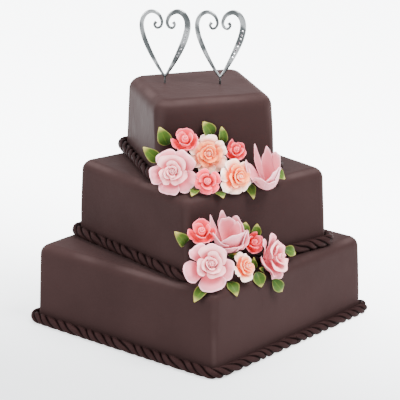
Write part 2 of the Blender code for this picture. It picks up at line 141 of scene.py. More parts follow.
# Each rose's petals, mostly from the outside in: run, turn in degrees (0 right and 90 up, facing the bloom),
# half the breadth in degrees, reach, rise, how pointed, and how far the rim rolls back
PETALS = {
    "top_rose_1": [
        ("flared", -32, 44, 0.99, 0.85, 0.15, 0.07), ("flared", 188, 38, 0.94, 1.05, 0.45, 0.08),
        ("flared", 112, 42, 0.95, 1, 0.1, 0.06), ("flared", -105, 44, 0.9, 1, 0.3, 0.07),
        ("flared", 46, 44, 0.98, 1.05, 0.2, 0.08),
        ("second", 205, 58, 0.8, 0.94, 0.1, 0.06), ("second", -48, 62, 0.84, 0.98, 0.1, 0.07),
        ("second", 82, 86, 1, 1.04, 0, 0.07),
        ("inner", 175, 82, 0.9, 0.96, 0, 0.03), ("inner", 55, 86, 1.06, 1, 0, 0.04),
        ("inner", 295, 82, 0.98, 0.98, 0, 0.03),
        *CORE,
    ],
    "top_rose_2": [
        ("cupped", -90, 62, 0.88, 0.88, 0.1, 0.05), ("cupped", 0, 56, 0.92, 0.96, 0.2, 0.06),
        ("cupped", 180, 40, 1.06, 1, 1, 0.08), ("cupped", 90, 66, 0.94, 1.02, 0.1, 0.05),
        ("bud", 250, 66, 0.84, 0.94, 0.1, 0.03), ("bud", 10, 56, 0.86, 0.98, 0.1, 0.03),
        ("bud", 130, 62, 0.9, 1, 0.1, 0.03),
    ],
    "top_rose_3": [
        ("flared", 24, 38, 0.88, 1, 0.2, 0.07), ("flared", 148, 40, 0.9, 1, 0.1, 0.07),
        ("flared", -98, 40, 0.88, 1, 0.1, 0.08), ("flared", 205, 36, 0.9, 1, 0.2, 0.07),
        ("flared", -42, 40, 0.96, 1, 0.3, 0.08), ("flared", 88, 40, 0.93, 1, 0.1, 0.07),
        ("second", 215, 62, 0.88, 0.98, 0.1, 0.05), ("second", -20, 62, 0.94, 1, 0.1, 0.06),
        ("second", 100, 66, 0.9, 1.02, 0.1, 0.05),
        ("inner", 150, 84, 1.12, 0.95, 0, 0.02), ("inner", 275, 84, 1.2, 0.98, 0, 0.02),
        ("inner", 35, 84, 1.06, 1, 0, 0.02),
        *CORE,
    ],
    "top_rose_4": [
        ("flared", 24, 48, 0.96, 1.15, 0.4, 0.07), ("flared", -101, 46, 0.92, 1.1, 0.3, 0.07),
        ("flared", 123, 50, 0.97, 1.15, 0.4, 0.07), ("flared", -48, 44, 0.94, 1.1, 0.4, 0.07),
        ("flared", 186, 46, 0.97, 1.15, 0.5, 0.07),
        ("bud", 250, 62, 0.86, 0.86, 0.1, 0.05), ("bud", 10, 62, 0.92, 0.9, 0.1, 0.05),
        ("bud", 130, 66, 0.88, 0.92, 0.1, 0.05),
    ],
    "top_rose_5": [
        ("flared", 25, 40, 0.95, 0.95, 0.2, 0.07), ("flared", 98, 44, 0.92, 1.05, 0.1, 0.07),
        ("flared", -42, 40, 0.94, 0.95, 0.3, 0.07), ("flared", 162, 38, 0.92, 1.1, 0.5, 0.07),
        ("flared", -104, 40, 0.88, 1, 0.1, 0.08), ("flared", 214, 32, 1.1, 1.3, 1, 0.1),
        ("second", 200, 62, 0.86, 1.02, 0.1, 0.05), ("second", 80, 62, 0.9, 1, 0.1, 0.05),
        ("second", -40, 62, 0.92, 0.98, 0.1, 0.05),
        ("inner", 180, 84, 1.04, 1, 0, 0.02), ("inner", 300, 84, 1.14, 0.96, 0, 0.02),
        ("inner", 60, 84, 1.1, 0.98, 0, 0.02),
        *CORE,
    ],
    "top_rose_6": [
        ("cupped", -100, 48, 0.94, 0.9, 0.2, 0.05), ("cupped", -35, 46, 0.92, 0.92, 0.2, 0.05),
        ("cupped", 186, 40, 1.06, 0.95, 0.6, 0.06), ("cupped", 35, 48, 0.86, 0.98, 0.1, 0.05),
        ("tall", 114, 42, 1.02, 1.14, 1, 0.03),
        ("bud", 200, 66, 0.86, 0.9, 0, 0.03), ("bud", 80, 66, 0.9, 0.94, 0, 0.03),
        ("bud", -40, 66, 0.88, 0.9, 0, 0.03),
    ],
    "top_rose_7": [
        ("tall", 132, 16, 1.16, 0.95, 0.6, 0.02), ("tall", 92, 40, 0.84, 0.94, 0.7, 0.04),
        ("tall", 190, 50, 1.18, 0.88, 0.5, 0.09), ("tall", 22, 74, 0.94, 0.88, 0.1, 0.05),
        ("tall", 324, 64, 0.9, 0.72, 0.1, 0.06), ("tall", 256, 72, 0.94, 0.6, 0.1, 0.1),
    ],
    "middle_rose_1": [
        ("flared", -8, 38, 0.94, 1.1, 0.1, 0.06), ("flared", 195, 40, 0.96, 1.05, 0.3, 0.07),
        ("flared", 66, 44, 0.9, 1.25, 0, 0.03), ("flared", 124, 34, 0.96, 1.1, 0.15, 0.05),
        ("flared", -78, 50, 0.92, 1, 0.05, 0.07),
        ("second", -60, 62, 0.8, 0.96, 0.1, 0.06), ("second", 190, 56, 0.82, 1, 0.1, 0.05),
        ("second", 70, 82, 1, 1.06, 0, 0.07),
        ("inner", 160, 84, 0.98, 0.98, 0, 0.03), ("inner", 280, 84, 1.04, 0.96, 0, 0.04),
        ("inner", 40, 84, 1.14, 1, 0, 0.04),
        *CORE,
    ],
    "middle_rose_2": [
        ("cupped", -90, 62, 0.88, 0.9, 0.1, 0.05), ("cupped", 6, 42, 0.98, 0.98, 0.8, 0.06),
        ("cupped", 176, 38, 0.96, 0.9, 0.6, 0.1), ("cupped", 92, 60, 0.92, 1.04, 0.1, 0.05),
        ("bud", 250, 58, 0.86, 1, 0.4, 0.03), ("bud", 10, 54, 0.88, 1.06, 0.4, 0.03),
        ("bud", 130, 60, 0.9, 1.06, 0.3, 0.03),
    ],
    "middle_rose_3": [
        ("tall", 114, 25, 0.98, 1.08, 0.5, 0.02), ("tall", 68, 38, 0.96, 0.84, 0.2, 0.04),
        ("tall", 154, 30, 1.04, 1.14, 1, 0.05), ("cupped", 14, 46, 0.94, 0.66, 0.5, 0.06),
        ("cupped", 276, 62, 0.96, 0.9, 0.1, 0.1), ("tall", 220, 64, 0.92, 1.04, 0.1, 0.09),
        ("tall", 345, 50, 0.9, 0.8, 0.3, 0.06), ("tall", 296, 72, 0.84, 1.1, 0, 0.07),
        ("tall", 100, 64, 0.62, 1, 0.1, 0.05), ("tall", 40, 56, 0.6, 0.92, 0.1, 0.05),
    ],
    "middle_rose_4": [
        ("cupped", -75, 56, 0.93, 0.92, 0.1, 0.05), ("cupped", 0, 50, 0.9, 0.98, 0.2, 0.05),
        ("cupped", 200, 44, 0.92, 0.95, 0.2, 0.05), ("tall", 68, 36, 0.88, 0.98, 0.5, 0.04),
        ("tall", 128, 34, 1, 1.02, 0.9, 0.04),
        ("bud", 250, 60, 0.86, 0.98, 0.2, 0.03), ("bud", 10, 60, 0.88, 1, 0.2, 0.03),
        ("bud", 130, 60, 0.9, 1.02, 0.2, 0.03),
    ],
    "middle_rose_5": [
        ("flared", 35, 42, 0.86, 1, 0.1, 0.07), ("flared", -30, 42, 0.88, 1, 0.1, 0.07),
        ("flared", 102, 42, 0.94, 1.1, 0.1, 0.07), ("flared", -96, 44, 0.92, 1.1, 0.1, 0.07),
        ("flared", 190, 34, 1.06, 1.35, 1, 0.08),
        ("second", 60, 70, 0.84, 0.92, 0.1, 0.04), ("second", 180, 66, 0.8, 0.95, 0.1, 0.04),
        ("second", -60, 70, 0.88, 0.92, 0.1, 0.04),
        ("inner", 90, 84, 1, 0.92, 0, 0.02), ("inner", 240, 84, 1, 0.92, 0, 0.02),
        *CORE,
    ],
    "middle_rose_6": [
        ("flared", -95, 44, 0.92, 1.05, 0.2, 0.08), ("flared", -40, 38, 0.95, 1.05, 0.7, 0.08),
        ("flared", 15, 40, 0.92, 1.05, 0.4, 0.06), ("flared", 118, 24, 1.05, 1.15, 0.9, 0.05),
        ("flared", 84, 32, 1.04, 1.45, 0.5, 0.04), ("cupped", 205, 54, 0.88, 0.8, 0.2, 0.07),
        ("second", 96, 88, 1.02, 1.06, 0.2, 0.05), ("second", 262, 84, 1, 0.98, 0.1, 0.06),
        ("inner", 60, 100, 1.3, 0.98, 0.1, 0.03), ("inner", 240, 90, 1.1, 0.95, 0.1, 0.03),
    ],
}
# Radius and top of the rolled bud, and where the whorls within the outer one lean to, sideways and upwards
HEART_OF_BLOOM = {"open": (0.13, 1.0), "bud": (0.26, 1.0), "cup": (0.14, 0.2)}
LEANS = {"top_rose_1": (-0.03, 0.03), "top_rose_5": (0.03, 0.0), "middle_rose_1": (0.12, 0.14)}

# What all petals share. The rim falls back towards the edges, more and more evenly in a pointed petal.
PETAL_ROWS = 21
PETAL_COLUMNS = 25
PETAL_FOOT_THICK = 1.3
PETAL_RIM_THICK = 0.7
RUFFLES = {"blush": 0.032, "coral": 0.026, "peach": 0.030}
RIM_WITHIN = {"blush": 0.45, "coral": 0.4, "peach": 0.25}  # how much of the pale rim the inner whorls keep
RIM_FALL, POINTED_FALL = 0.22, 0.28
RIM_POWER, POINTED_POWER = 2.6, 1.4
NARROWING = 0.15
ROLL_FROM = 0.62  # share of the way along where the rim starts to roll back
ROLL_MIDDLE, ROLL_CORNERS = 0.55, 0.9
ROLL_CORNER_AT, ROLL_CORNER_BREADTH = 0.62, 0.28
ROLL_DROP = 0.9
RUFFLE_OUT = 0.4
FOLD_HEIGHT, FOLD_BREADTH, FOLD_SWAY = 0.03, 0.22, 0.15
PETAL_LAP = 0.07  # how far one edge of a petal stands in front of the other, as a share of the bloom's depth
RIM_ALONG, RIM_ACROSS = 0.86, 0.88
TALL_DEPTH = 0.2  # how much of the deep colour and painted shade between petals tall petals show at the foot
BUD_RINGS = 34
BUD_SIDES = 56
BUD_TURNS = 2.4
BUD_LIP = (0.75, 0.86)  # shares of a turn where the lip is full and where it falls
BUD_DOME, BUD_STEP = 0.22, 0.13
BUD_UNROUND = 0.04
BUD_SHOULDER, BUD_FOOT = 0.28, 0.25
BUD_TAPER = 0.5

# Leaves before the same walls: foot, tip, the way the upper face looks (along, out, up) and the width
LEAVES = {
    "top": [
        ((-68, 4, 50.5), (-79.5, 5, 76), (-0.3, 1, 0.2), 19),
        ((-82, 12, 32), (-104, 14, 53), (-0.3, 1, 0.3), 17),
        ((-6.5, 3.5, 59), (-19.5, 4, 78.5), (0, 1, 0.2), 18.5),
        ((8, 4, 46), (6, 4, 70), (0, 1, 0.1), 13),
        ((-43.5, 61, 3.5), (-57, 80, 3), (0, 0.3, 1), 14),
        ((-17.5, 65.5, 0), (-14, 80, -4), (0.1, 0.6, 1), 14),
        ((28, 44, 2), (33.5, 62, -15), (0.2, 1, 0.8), 14),
        ((66.5, 37, 13), (84, 39.5, 1.5), (0.1, 0.9, 0.8), 14),
    ],
    "middle": [
        ((-126, 4, 53), (-149, 13, 76), (-0.5, 1, 0.4), 17),
        ((-117, 40, 2), (-142, 43, -11.5), (-0.7, 0.4, 0.9), 18),
        ((-86, 44, 3), (-86, 62, -11), (-0.2, 1, 0.9), 17),
        ((-38, 43, 6), (-37, 52, -13), (-0.4, 0.8, 0.5), 17),
        ((-13, 46.5, -9), (2, 48.5, -29), (-0.5, 0.8, 0.4), 16),
        ((28, 20, 17), (44, 26, 8.5), (-0.3, 0.8, 0.6), 15),
        ((-32, 4, 47), (-25, 5, 62), (-0.2, 1, 0.2), 17),
        ((-10, 5, 38), (-7, 6, 56.5), (-0.4, 0.8, 0.1), 14),
        ((-61, 22, 24), (-74, 44, 39), (-0.4, 0.4, 1), 13),
        ((-28, 26, 4), (-34, 32, 22), (-0.8, 1, 0.2), 9),
        ((-22, 37, 2), (-31, 41, 9), (-0.3, 1, 0.8), 8),
    ],
}
LEAF_BROADEST = 0.8
LEAF_FULL = 0.8
LEAF_BOW = 0.12
LEAF_FOLD = 0.30
LEAF_WAVE = 0.9
LEAF_CURL = 0.06
LEAF_VEINS = 7
VEIN_SLANT = 2.2
VEIN_HEIGHT = 0.16
RIB_DEPTH = 0.35
RIB_BREADTH = 0.10
LEAF_ROWS = 25
LEAF_COLUMNS = 13
LEAF_THICK = 0.9
LEAF_THIN = 0.35  # share of the thickness left at the edges
RIB_PAINT, RIB_PAINT_BREADTH, VEIN_PAINT = 0.7, 0.08, 0.3

# Silver hearts, each one pen stroke on a pin
HEARTS = {"left": (-43.7, -16.7), "right": (26.6, 9.0)}
HEART_TURN = 36.3
HEART_RISE = 9.6
HALF_HEART = [
    (11.5, 75.5), (13.8, 71.5), (10.5, 67.2), (5.2, 69.5), (3.6, 76.6), (8, 85.7), (17.5, 89.95),
    (26.6, 85), (31, 73), (28.6, 56.5), (20.6, 36), (10.6, 16.5), (3.4, 4.6),
]
HEART_STATIONS = 120
BAR_SIDES = 16
BAR_POWER = 0.62  # under 1 squares the bar's section up
HEART_THICK = 4.0
PEN_FINE = 3.0
PEN_BROAD = {"left": 6.6, "right": 9.0}
PEN_BULB = 1.6
BULB_LENGTH = 0.03
PEN_LOW = 1.25
PEN_SWELL = 1.1
PIN_RADIUS = 1.2
PIN_SINK = 25.0
GEMS = 8
GEM_RADIUS = 1.6
GEM_SPAN = (0.52, 0.78)
GEM_SIDES = 8
GEM_LAYERS = ((0.9, -0.3), (1.0, 0.3), (0.55, 1.0))  # share of the radius, height over the bar

# The camera: bearing round the cake, height angle, distance and focal length as the photograph was taken
VIEW_BEARING = 40.3
VIEW_LIFT = 17.97
VIEW_DISTANCE = 3.0
VIEW_AIM = 0.16
VIEW_LENS = 197.0
VIEW_SHIFT = 0.017

# Lights: metres to the right of the aim, towards the camera and up, width and watts
LIGHTS = {
    "key": (1.3, 1.0, 2.0, 1.0, 190.0),
    "side": (-2.0, 1.2, 1.0, 1.4, 100.0),
    "overhead": (0.0, -0.6, 2.2, 1.6, 60.0),
}
SKY = (0.95, 0.97, 1.0, 1.0)
SKY_STRENGTH = 2.0

# The floor's half width in metres, and its glow from far to near, which fades to the left too: painted light,
# and painted shade where it fades
FLOOR_REACH = 12.0
FLOOR_GLOW = (6.5, 0.45)
FLOOR_GLOW_RUN = (-0.6, 0.45)
FLOOR_GLOW_SLANT = 0.6


# Places on the cake

def turned(points, degrees):
    """The points turned about Z."""
    angle = math.radians(degrees)
    cos, sin = math.cos(angle), math.sin(angle)
    return np.asarray(points) @ np.array([[cos, sin, 0], [-sin, cos, 0], [0, 0, 1]])


def base_height(tier):
    """Height of the tier's underside above the floor."""
    below = list(TIERS)[: list(TIERS).index(tier)]
    return sum(TIERS[name]["height"] for name in below) + GAP * len(below)


def onto_tier(tier, points):
    """Points from the tier's own frame, with Z up from its foot, to the cake's."""
    spec = TIERS[tier]
    return turned(points, spec["turn"]) + [*spec["middle"], base_height(tier)]


def before_wall(tier, point):
    """A point along the tier's right wall, out from it and up from its foot, in the cake's frame."""
    along, out, up = point
    return onto_tier(tier, [[TIERS[tier]["side"] / 2 + out, along, up]])[0]


def wall_direction(tier, direction):
    """A direction along the tier's right wall, out from it and up, as a unit vector in the cake's frame."""
    along, out, up = direction
    made = turned([[out, along, up]], TIERS[tier]["turn"])[0]
    return made / np.linalg.norm(made)


# Meshes from grids

def piece(name, points, faces, finish, node, paint=None, smooth_angle=40.0):
    """A mesh object at the origin from points in millimetres, riding on the cake in place of a CAD node.

    paint is one colour attribute, three or four numbers a point, which the finish reads. Faces are quads, and
    one that names its last point twice is a triangle.
    """
    mesh = bpy.data.meshes.new(name)
    corners = [face[:3] if face[2] == face[3] else face for face in np.asarray(faces).tolist()]
    mesh.from_pydata((np.asarray(points) * MM).tolist(), [], corners)
    if paint is not None:
        layer = mesh.attributes.new("paint", "FLOAT_COLOR", "POINT")
        values = np.ones((len(points), 4), np.float32)
        values[:, : paint.shape[1]] = paint
        layer.data.foreach_set("color", values.ravel())
    work = bmesh.new()
    work.from_mesh(mesh)
    bmesh.ops.recalc_face_normals(work, faces=work.faces)
    work.to_mesh(mesh)
    work.free()
    mesh.shade_smooth()
    mesh.set_sharp_from_angle(angle=math.radians(smooth_angle))
    mesh.materials.append(finish)
    made = bpy.data.objects.new(name, mesh)
    bpy.context.scene.collection.objects.link(made)
    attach(made, "root")
    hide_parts(node)
    return made


def grid_quads(rows, columns, wrap=False):
    """Quads of a grid of points, row by row; wrap closes each row on itself."""
    across = columns if wrap else columns - 1
    row, column = np.meshgrid(np.arange(rows - 1), np.arange(across), indexing="ij")
    after = (column + 1) % columns
    here, there = row * columns, (row + 1) * columns
    return np.stack([here + column, here + after, there + after, there + column], -1).reshape(-1, 4)


def capped_quads(rows, columns):
    """Quads between closed rings, and both ends closed to their middles, the two points after the rings."""
    last = rows * columns
    middle = np.full(columns, last)
    ring = np.arange(columns)
    after = (ring + 1) % columns
    first_end = np.stack([after, ring, middle, middle], -1)
    last_end = np.stack([last - columns + ring, last - columns + after, middle + 1, middle + 1], -1)
    return np.vstack([grid_quads(rows, columns, wrap=True), first_end, last_end])


def thin_solid(grid, half_thick):
    """A closed thin solid about a grid of points: each face stands off along the grid's own normals."""
    rows, columns = grid.shape[:2]
    slope_down = np.gradient(grid, axis=0)
    slope_across = np.gradient(grid, axis=1)
    normal = np.cross(slope_across, slope_down)
    normal /= np.linalg.norm(normal, axis=2, keepdims=True) + 1e-9
    offset = normal * half_thick[..., None]
    points = np.concatenate([(grid + offset).reshape(-1, 3), (grid - offset).reshape(-1, 3)])
    front = grid_quads(rows, columns)
    count = rows * columns
    back = front[:, ::-1] + count
    index = np.arange(count).reshape(rows, columns)
    loop = np.concatenate([index[0, :-1], index[:-1, -1], index[-1, :0:-1], index[:0:-1, 0]])
    after = np.roll(loop, -1)
    rim = np.stack([loop, after, after + count, loop + count], -1)
    return points, np.concatenate([front, back, rim])


def joined(parts):
    """One set of points, faces and paint from several."""
    points, faces, paints = zip(*parts)
    starts = np.cumsum([0, *(len(some) for some in points[:-1])])
    faces = [some + start for some, start in zip(faces, starts)]
    return np.concatenate(points), np.concatenate(faces), np.concatenate(paints)


def eased(value, low, high):
    """0 below low, 1 above high, smooth between."""
    share = np.clip((value - low) / (high - low), 0, 1)
    return share * share * (3 - 2 * share)


# Tiers

def rounded_square(half, radius, straight_steps, corner_steps):
    """Outline of a square of that half side with arcs at its corners, and the way out at each point."""
    points, outward = [], []
    for quarter in range(4):
        spin = np.radians(90 * quarter)
        turn = np.array([[math.cos(spin), -math.sin(spin)], [math.sin(spin), math.cos(spin)]])
        up_side = np.linspace(-(half - radius), half - radius, straight_steps, endpoint=False)
        side = np.column_stack([np.full(straight_steps, half), up_side])
        angles = np.radians(np.linspace(0, 90, corner_steps, endpoint=False))
        arc_out = np.stack([np.cos(angles), np.sin(angles)], 1)
        arc = radius * arc_out + (half - radius)
        points.append(np.vstack([side, arc]) @ turn.T)
        outward.append(np.vstack([np.tile([1.0, 0.0], (straight_steps, 1)), arc_out]) @ turn.T)
    return np.vstack(points), np.vstack(outward)


def hand_smoothed(points, seed, size):
    """How far hand-smoothed icing stands out at each point: slow waves in random directions."""
    rng = np.random.default_rng(seed)
    total = np.zeros(len(points))
    for length in WAVE_LENGTHS:
        heading = rng.normal(size=3)
        heading /= np.linalg.norm(heading)
        wave = np.sin(2 * np.pi * points @ heading / length + rng.uniform(0, 2 * np.pi))
        total += length / WAVE_LENGTHS[0] * wave
    return size * total / WAVES_TOGETHER


def icing_tier(tier, seed, finish):
    """Rounded-square outlines up the wall, over the edge on a quarter circle and in to the middle of the top.

    The paint is a painted highlight, lighter icing where light catches it: a bell across the edge, and the
    outline's corners.
    """
    half, height = TIERS[tier]["side"] / 2, TIERS[tier]["height"]
    edge = EDGE_ROUND[tier]
    shoulder = height - edge
    levels = [(0.0, half - FOOT_ROUND, 0.0), (FOOT_STEP, half - FOOT_STEP, 0.0), (FOOT_ROUND, half, 0.0)]
    for z in np.linspace(FOOT_ROUND, shoulder, WALL_LEVELS)[1:]:
        levels.append((z, half - TAPER * (z - FOOT_ROUND) / (shoulder - FOOT_ROUND), 0.0))
    for angle in np.radians(np.linspace(0, 90, EDGE_LEVELS)[1:]):
        drawn_in = edge * (1 - math.cos(angle))
        levels.append((shoulder + edge * math.sin(angle), half - TAPER - drawn_in, math.sin(angle)))
    flat = half - TAPER - edge
    for share in np.linspace(1, TOP_INNERMOST, TOP_LEVELS)[1:]:
        levels.append((height, flat * share, 1.0))
    rings, edge_highlight = [], []
    for z, reach, facing_up in levels:
        softer = CORNER_ROUND + CORNER_SOFTER[tier] * (z / height) ** SOFTER_POWER
        radius = max(softer - CORNER_LOSS * (half - reach), CORNER_LEAST)
        outline, outward = rounded_square(reach, min(radius, reach * 0.9), SIDE_STEPS, CORNER_STEPS)
        points = np.column_stack([outline, np.full(len(outline), z)])
        way = np.column_stack([outward * (1 - facing_up), np.full(len(outline), facing_up)])
        loose = eased(z, *UNEVEN_HEIGHTS)
        rings.append(points + way * (hand_smoothed(points, seed, UNEVEN) * loose)[:, None])
        # Painted highlight: a bell across the rounded top edge, and lighter corners higher up the wall
        over_edge = math.exp(-(((math.asin(facing_up) - HIGHLIGHT_AT) / HIGHLIGHT_BREADTH) ** 2)) * (facing_up < 1)
        corner = 2 * np.abs(outward[:, 0] * outward[:, 1]) * (1 - facing_up) * eased(z, *HIGHLIGHT_HEIGHTS)
        edge_highlight.append(np.maximum(over_edge, HIGHLIGHT_CORNERS * corner))
    points = np.vstack([*rings, [[0.0, 0.0, 0.0]], [[0.0, 0.0, height]]])
    faces = capped_quads(len(rings), len(rings[0]))
    paint = np.append(np.concatenate(edge_highlight), [0, 0])[:, None] * [1, 0, 0]
    points = onto_tier(tier, points)
    return piece(f"{tier}_tier_icing", points, faces, finish, f"{tier}_tier", paint)


# Ropes

def rope_course(half, radius, places):
    """Points and outward directions at shares of the way round a rounded square, from the middle of +X."""
    straight = 2 * (half - radius)
    arc = math.pi / 2 * radius
    side = straight + arc
    run = np.asarray(places) * 4 * side
    quarter = np.floor(run / side)
    run = run - quarter * side
    on_arc = np.clip(run - straight / 2, 0, arc)
    after = np.clip(run - straight / 2 - arc, 0, None)
    bend = on_arc / radius
    x = half - radius + radius * np.cos(bend) - after
    y = np.minimum(run, straight / 2) + radius * np.sin(bend)
    turn = quarter * math.pi / 2
    points = np.stack([x * np.cos(turn) - y * np.sin(turn), x * np.sin(turn) + y * np.cos(turn)], 1)
    outward = np.stack([np.cos(bend + turn), np.sin(bend + turn)], 1)
    return points, outward


def icing_rope(tier, finish):
    """Soft strands: a section of lobes with a sharp groove between, turned as it goes round the foot."""
    rings = 4 * GROOVES_A_SIDE[tier] * RINGS_A_GROOVE
    places = np.arange(rings) / rings
    from_corner = (places * 4) % 1 / 4 - 1 / 8
    squeeze = ROPE_ACROSS - ROPE_PINCH * np.exp(-((from_corner / PINCH_LENGTH) ** 2))
    course, outward = rope_course(TIERS[tier]["side"] / 2 + GAP + squeeze * ROPE / 2, ROPE_CORNER, places)
    theta = 2 * np.pi * np.arange(ROPE_SIDES) / ROPE_SIDES
    lobes = 1 - GROOVE * (1 - np.abs(np.sin(STRANDS * theta / 2))) ** GROOVE_POWER
    radius = lobes * ROPE / 2
    uneven = sum(size * np.sin(2 * np.pi * places * waves + start) for size, waves, start in UNEVEN_TWIST)
    twist = -2 * np.pi * 4 * GROOVES_A_SIDE[tier] / STRANDS * places + uneven
    angle = twist[:, None] + theta
    across = squeeze[:, None] * radius * np.cos(angle)
    up = ROPE_UPRIGHT * (radius * np.sin(angle) + ROPE / 2) + (GAP if tier != "bottom" else 0)
    flat = course[:, None, :] + across[..., None] * outward[:, None, :]
    grid = np.concatenate([flat, up[..., None]], axis=2)
    quads = grid_quads(rings + 1, ROPE_SIDES, wrap=True) % (rings * ROPE_SIDES)
    # Paint: painted shade in the grooves, as much as the section sinks there
    deep_and_shaded = np.tile(1 - lobes, rings)
    paint = np.stack([deep_and_shaded, deep_and_shaded * 0, deep_and_shaded * 0], 1)
    points = onto_tier(tier, grid.reshape(-1, 3))
    return piece(f"{tier}_rope_icing", points, quads, finish, f"{tier}_rope", paint, 70.0)


# Roses

def facing_frame(tier, right, up):
    """Sideways, upward and forward directions of a bloom that faces so many degrees right of out, and up."""
    yaw, lift = math.radians(right), math.radians(up)
    level = math.cos(lift)
    forward = wall_direction(tier, (math.sin(yaw) * level, math.cos(yaw) * level, math.sin(lift)))
    sideways = wall_direction(tier, (math.cos(yaw), -math.sin(yaw), 0.0))
    return sideways, np.cross(forward, sideways), forward


def bezier(controls, share):
    """Points of a cubic curve through its end controls."""
    a, b, c, d = (np.array(point) for point in controls)
    t = share[..., None]
    return a * (1 - t) ** 3 + 3 * b * t * (1 - t) ** 2 + 3 * c * t**2 * (1 - t) + d * t**3


def petal(run, turn, half, reach, rise, pointed, curl, ruffle, rim_within, phase):
    """One petal as (angle, radius, height) over a grid, with its thickness and paint.

    Its middle line is swept round the bloom's axis through its breadth. The rim falls back towards the edges
    as a power of the share across, lower for a pointed petal. It rolls outwards over its last third, most at
    two corners, and waves from phase; a soft fold runs up its middle. The paint is the pale rim, of which the
    petals within the bloom keep rim_within, the deep colour with painted shade between petals, and how far
    inside the petal stands.
    """
    across = np.linspace(-1, 1, PETAL_COLUMNS)[None, :]
    along = np.linspace(0, 1, PETAL_ROWS)[:, None]
    fall = (RIM_FALL + POINTED_FALL * pointed) * np.abs(across) ** (RIM_POWER - POINTED_POWER * pointed)
    middle = bezier(RUNS[run], along * (1 - fall))
    angle = np.radians(turn + half * across * (1 - NARROWING * along)) + 0 * along
    from_corner = (np.abs(across) - ROLL_CORNER_AT) / ROLL_CORNER_BREADTH
    rolled = eased(along, ROLL_FROM, 1.0) ** 2 * (ROLL_MIDDLE + ROLL_CORNERS * np.exp(-(from_corner**2)))
    wave = np.sin(1.7 * np.pi * across + phase) + 0.4 * np.sin(3.7 * np.pi * across + 2 * phase)
    fold = np.exp(-(((across - FOLD_SWAY * np.sin(phase)) / FOLD_BREADTH) ** 2)) * along**2
    radius = reach * middle[..., 0] + curl * rolled + RUFFLE_OUT * ruffle * wave * along**2
    radius = radius + LAP_OUT.get(run, 0.0) * across * along
    height = rise * middle[..., 1] - ROLL_DROP * curl * rolled + ruffle * wave * along**2 + FOLD_HEIGHT * fold
    height = height + PETAL_LAP * across * along
    edge = np.maximum(eased(along, RIM_ALONG, 1.0), eased(np.abs(across), RIM_ACROSS, 1.0) * along)
    thicker = 1 - np.maximum(along, np.abs(across) * along)
    thick = PETAL_RIM_THICK + (PETAL_FOOT_THICK - PETAL_RIM_THICK) * thicker
    edge = edge * (1 - (1 - rim_within) * INSIDE[run])
    # Painted shade between the petals, darkest at the foot, together with the deeper dusted colour there
    shade_and_dust_between_petals = (1 - along) * (TALL_DEPTH if run == "tall" else 1.0)
    paint = np.stack([edge + 0 * angle, shade_and_dust_between_petals + 0 * angle, INSIDE[run] + 0 * angle], -1)
    return angle, radius, height, thick + 0 * angle, paint


def rolled_bud(reach, top):
    """Points, faces and paint of the bud at a bloom's heart, in its own flat frame.

    A low dome whose height steps along a spiral, by what is left over of radius times turns less the angle.
    """
    share = np.linspace(0.0, 1.0, BUD_RINGS)[:, None]
    angle = 2 * np.pi * np.arange(BUD_SIDES)[None, :] / BUD_SIDES
    step = (BUD_TURNS * share - angle / (2 * np.pi)) % 1.0
    lip = eased(step, 0.0, BUD_LIP[0]) * (1 - eased(step, BUD_LIP[1], 1.0))
    height = top - BUD_DOME * share**2 + BUD_STEP * (lip - 0.5) * eased(share, 0.03, 0.2)
    radius = reach * share * (1 + BUD_UNROUND * np.sin(3 * angle))
    wall = np.linspace(0.1, 1.0, 6)[:, None]
    wall_height = (top - BUD_SHOULDER) * (1 - wall) + BUD_FOOT * wall
    wall_radius = reach * (1 - BUD_TAPER * wall) + 0 * angle
    grid_radius = np.vstack([radius[1:], wall_radius])
    grid_height = np.vstack([height[1:] + 0 * angle, wall_height + 0 * angle])
    grid_angle = angle + 0 * grid_radius
    lips = np.vstack([lip[1:], 0 * wall_radius])
    # Painted shadow in each step of the spiral and down the bud's wall
    bud_shade = np.vstack([0.75 * (1 - lip[1:]) ** 2, 0.4 + 0.6 * wall + 0 * angle])
    rows, columns = grid_radius.shape
    flat = np.stack([grid_radius * np.cos(grid_angle), grid_radius * np.sin(grid_angle), grid_height], -1)
    points = np.vstack([flat.reshape(-1, 3), [[0, 0, top]], [[0, 0, 0.2]]])
    paint = np.stack([0.8 * lips, bud_shade, 0 * lips + 1], -1).reshape(-1, 3)
    paint = np.vstack([paint, [[0.3, 0.0, 1.0]], [[0.0, 1.0, 1.0]]])
    return points, capped_quads(rows, columns), paint


